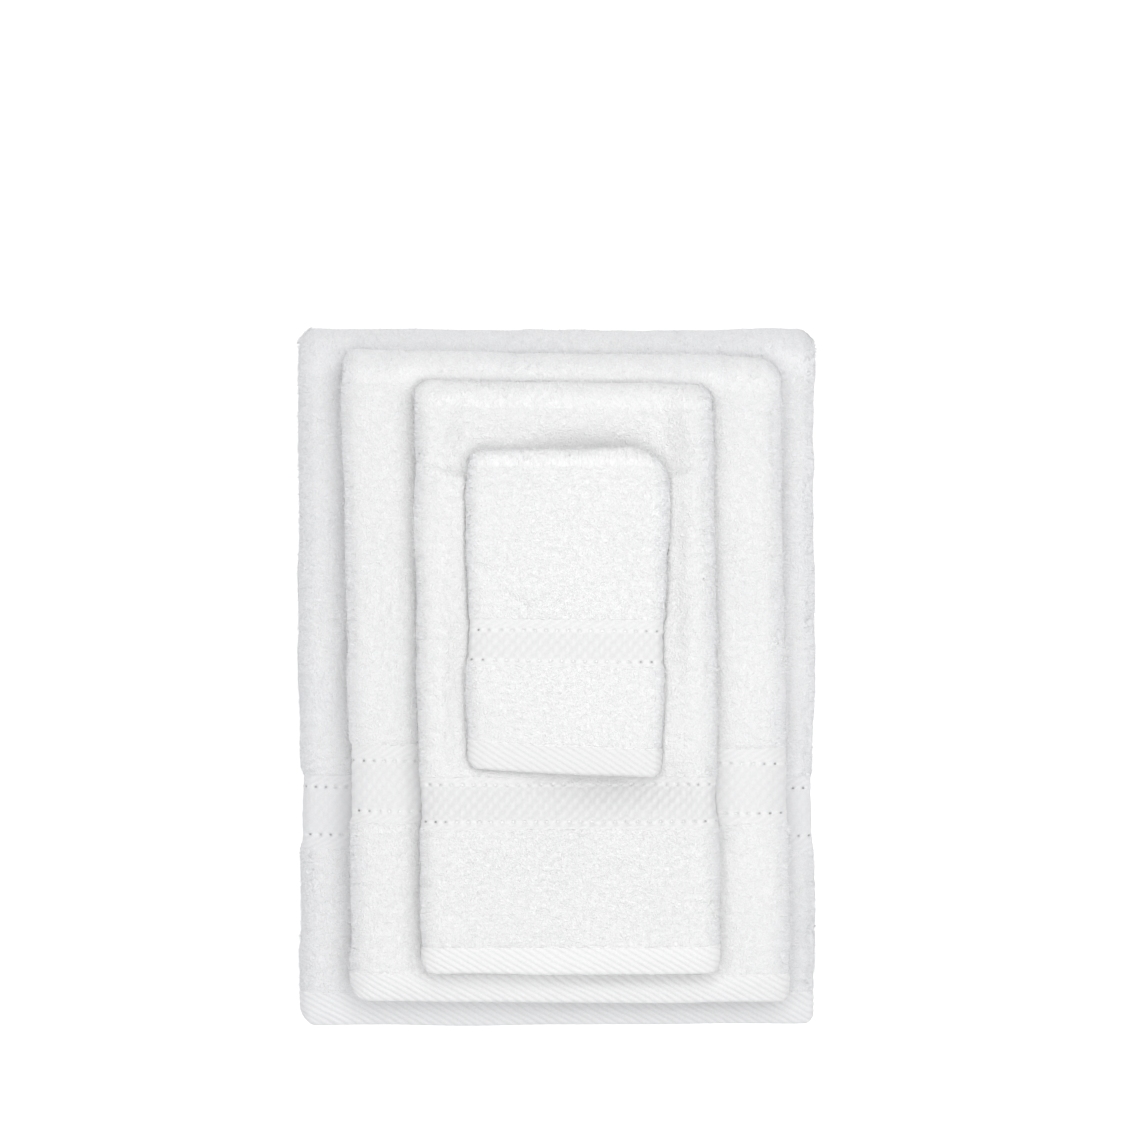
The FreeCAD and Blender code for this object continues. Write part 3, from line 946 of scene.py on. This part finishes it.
def build_hem(T, second, step):
    """The turned hem: encloses the whole end of the cloth, all panels."""
    n = T.name
    ps, pe = T.pa.start(T.centre), T.pa.end(T.centre)
    arc_l, arc_r = T.pa.seg[T.centre - 1][2], T.pa.seg[T.centre + 1][2]
    f0, f1 = ps - arc_l - 3, pe + arc_r + 3
    a = joined([steps(-0.6, 1.5, 0.7), steps(1.5, f0, 6), steps(f0, f1, step), steps(f1, T.A - 1.5, 6),
                steps(T.A - 1.5, T.A + 0.6, 0.7)])
    hw = T.hw
    L = T.L
    rows = joined([np.array([-0.3, 0.0]), steps(0.0, 1.5, 0.5), steps(1.5, hw - 0.8, step), steps(hw - 0.8, hw + 0.8, 0.4)])
    if second:
        b = (L - rows)[::-1].copy()
        dist = lambda bb: L - bb
    else:
        b = rows
        dist = lambda bb: bb

    def shell(dd):
        """Rounded at the turned edge, tucked down at the seam."""
        q = np.clip(dd + 0.3, 0, None)
        nose = np.sqrt(np.clip(1 - np.clip(1 - q / 1.6, 0, 1) ** 2, 0, 1))
        seam = smooth(hw + 0.8, hw - 1.0, dd)
        return nose * (0.60 + 0.40 * seam)

    def front(aa, bb):
        dd = dist(bb)
        rel = rib_height_and_shade(T, aa, dd)[0] * smooth(-0.3, 0.4, dd) * smooth(hw + 0.3, hw - 0.6, dd)
        return shell(dd) * (T.th / 2 + 0.22) + rel - 0.05

    relief = lambda aa, bb: rib_height_and_shade(T, aa, dist(bb))[1]

    def back(aa, bb):
        dd = dist(bb)
        return -shell(dd) * (T.th / 2 - 0.05)

    return ribbon(T, n + ("_second_hem_cloth" if second else "_hem_cloth"), a, b, front, back, HEMM[n],
                  relief)


def build_stitches(T, second):
    """Lockstitch of the hem seam: one small bowed thread per stitch."""
    ps, pe = T.pa.start(T.centre), T.pa.end(T.centre)
    arc_l, arc_r = T.pa.seg[T.centre - 1][2], T.pa.seg[T.centre + 1][2]
    hw = T.hw
    pitch, length, rad = 3.0, 2.5, 0.24
    xs = np.arange(ps - arc_l, pe + arc_r, pitch)
    rng = np.random.default_rng(T.seed + 60)
    nr, ns = 7, 7
    verts, quads, tris = [], [], []
    t = np.linspace(-1, 1, ns)
    for k, s in enumerate(xs):
        aa = s + t * length / 2
        jitter = rng.normal(0, 0.08)
        bb = hw - 0.15 + jitter + t * rng.normal(0, 0.06)
        bb = T.L - bb if second else bb
        lift = T.th / 2 + 0.05 + 0.22 * (1 - t ** 2)
        r = rad * np.sqrt(np.clip(1.02 - t ** 4, 0.05, 1))
        ang = np.linspace(0, 2 * math.pi, nr, endpoint=False)
        AA = np.repeat(aa[:, None], nr, 1)
        BB = bb[:, None] + r[:, None] * np.cos(ang)[None]
        OO = lift[:, None] + r[:, None] * np.sin(ang)[None]
        p, _, _ = T.place(AA, BB, OO)
        base = len(verts) * ns * nr
        verts.append(p)
        i, j = np.meshgrid(np.arange(ns - 1), np.arange(nr), indexing="ij")
        j2 = (j + 1) % nr
        q = np.column_stack([(i * nr + j).ravel(), (i * nr + j2).ravel(), ((i + 1) * nr + j2).ravel(), ((i + 1) * nr + j).ravel()])
        quads.append(base + q)
        for m in range(1, nr - 1):
            tris.append((base, base + m, base + m + 1))
            e0 = base + (ns - 1) * nr
            tris.append((e0, e0 + m + 1, e0 + m))
    v = np.vstack(verts)
    flat = np.column_stack([v[:, 0], v[:, 1]]) * MM
    o = make_mesh(T.name + ("_second_hem_thread" if second else "_hem_thread"), v, np.vstack(quads), np.array(tris, int), flat)
    o.data.attributes.new("relief", "FLOAT", "POINT").data.foreach_set("value", np.ones(len(v), np.float32))
    o.data.materials.append(THREAD[T.name])
    return o


GRID = {"bath_sheet": (1.3, 4.0, 7.0), "bath_towel": (1.2, 3.0, 7.0),
        "hand_towel": (1.0, 3.0, 5.0), "face_cloth": (0.8, 0.8, 3.0)}

for T in TOWELS:
    n = T.name
    low, flap = n + "_lower", n + "_flap"
    cloth = build_towel(T, *GRID[n])
    band, _ = build_band(T, False, 0.46)
    band2, w2 = build_band(T, True, 1.0)
    hem, _ = build_hem(T, False, 0.42)
    hem2, _ = build_hem(T, True, 1.1)
    thread = build_stitches(T, False)
    thread2 = build_stitches(T, True)
    for o in (band, hem, thread):
        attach(o, flap)
    second_body = flap if T.leaves == 4 else low
    for o in (band2, hem2, thread2):
        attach(o, second_body)
    nodes = [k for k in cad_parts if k.startswith(n + "_")]
    take = {"cloth": [], "band": [], "band2": [], "hem": [], "hem2": [], "thread": []}
    for k in nodes:
        s = k[len(n) + 1:]
        if s == "top_border":
            take["band"].append(k)
        elif s == "top_hem":
            take["hem"].append(k)
        elif s == "hem_stitching":
            take["thread"].append(k)
        elif s.endswith("_border"):
            take["band2"].append(k)
        elif s.endswith("_hem"):
            take["hem2"].append(k)
        else:
            take["cloth"].append(k)
    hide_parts(*take["cloth"])
    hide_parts(*take["band"])
    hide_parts(*take["hem"])
    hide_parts(*take["thread"])
    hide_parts(*take["band2"])
    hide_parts(*take["hem2"])
    under = {"bath_sheet": ["floor"], "bath_towel": ["bath_sheet_cloth"], "hand_towel": ["bath_towel_cloth"],
             "face_cloth": ["hand_towel_cloth"]}[n]
    T.flat = (round(T.A * MM, 3), round(T.L * MM, 3))
    T.cloth = cloth
    T.rest = under
    T.extra = [band, band2, hem, hem2, thread, thread2]
    print("towel", n, "flat", T.flat, "e", round(T.e, 3), "verts", len(cloth.data.vertices), "faces", len(cloth.data.polygons))

# ------------------------------------------------------------------ floor, light, camera
me = bpy.data.meshes.new("floor")
me.from_pydata([(-4, -4, -0.0006), (4, -4, -0.0006), (4, 4, -0.0006), (-4, 4, -0.0006)], [], [(0, 1, 2, 3)])
floor = bpy.data.objects.new("floor", me)
bpy.context.collection.objects.link(floor)
fm, fnt, fbs = new_material("floor_white")
fbs.inputs["Base Color"].default_value = (0.98, 0.98, 0.98, 1)
fbs.inputs["Roughness"].default_value = 0.9
fbs.inputs["Emission Color"].default_value = (1, 1, 1, 1)
fbs.inputs["Emission Strength"].default_value = 0.25
floor.data.materials.append(fm)

scene = bpy.context.scene
world = bpy.data.worlds.new("studio")
scene.world = world
world.use_nodes = True
bg = world.node_tree.nodes["Background"]
bg.inputs["Strength"].default_value = 1.0
wt = world.node_tree
tc = wt.nodes.new("ShaderNodeTexCoord")
sep = wt.nodes.new("ShaderNodeSeparateXYZ")
sky = wt.nodes.new("ShaderNodeValToRGB")
sky.color_ramp.elements[0].position = 0.09
sky.color_ramp.elements[0].color = (1.0, 1.0, 1.01, 1)
sky.color_ramp.elements[1].position = 0.22
sky.color_ramp.elements[1].color = (0.335, 0.338, 0.353, 1)
wt.links.new(tc.outputs["Generated"], sep.inputs[0])
wt.links.new(sep.outputs["Z"], sky.inputs["Fac"])
wt.links.new(sky.outputs["Color"], bg.inputs["Color"])


def area(name, loc, aim, size, power, color=(1, 1, 1)):
    d = bpy.data.lights.new(name, "AREA")
    d.shape = "SQUARE"
    d.size = size
    d.energy = power
    d.color = color
    o = bpy.data.objects.new(name, d)
    bpy.context.collection.objects.link(o)
    o.location = loc
    o.rotation_euler = (Vector(aim) - Vector(loc)).to_track_quat("-Z", "Y").to_euler()
    return o


area("key", (0.10, 0.10, 2.6), (0, 0, 0.05), 2.2, 68.5, (1.0, 0.996, 0.984))

CAM_D = 2.2
PX = 0.515 * MM                         # floor size of one pixel of the 1124 frame
cam_data = bpy.data.cameras.new("camera")
cam = bpy.data.objects.new("camera", cam_data)
bpy.context.collection.objects.link(cam)
cam.location = (0.00306, 0.05835, CAM_D)
cam.rotation_euler = (0, 0, 0)
cam_data.sensor_fit = "HORIZONTAL"
cam_data.sensor_width = 36.0
cam_data.lens = 36.0 * CAM_D / (PX * 1124)
cam_data.clip_start = 0.05
cam_data.clip_end = 50
scene.camera = cam
scene.view_settings.view_transform = "Standard"
scene.view_settings.look = "None"
scene.view_settings.exposure = 0.0
scene.view_settings.gamma = 1.0
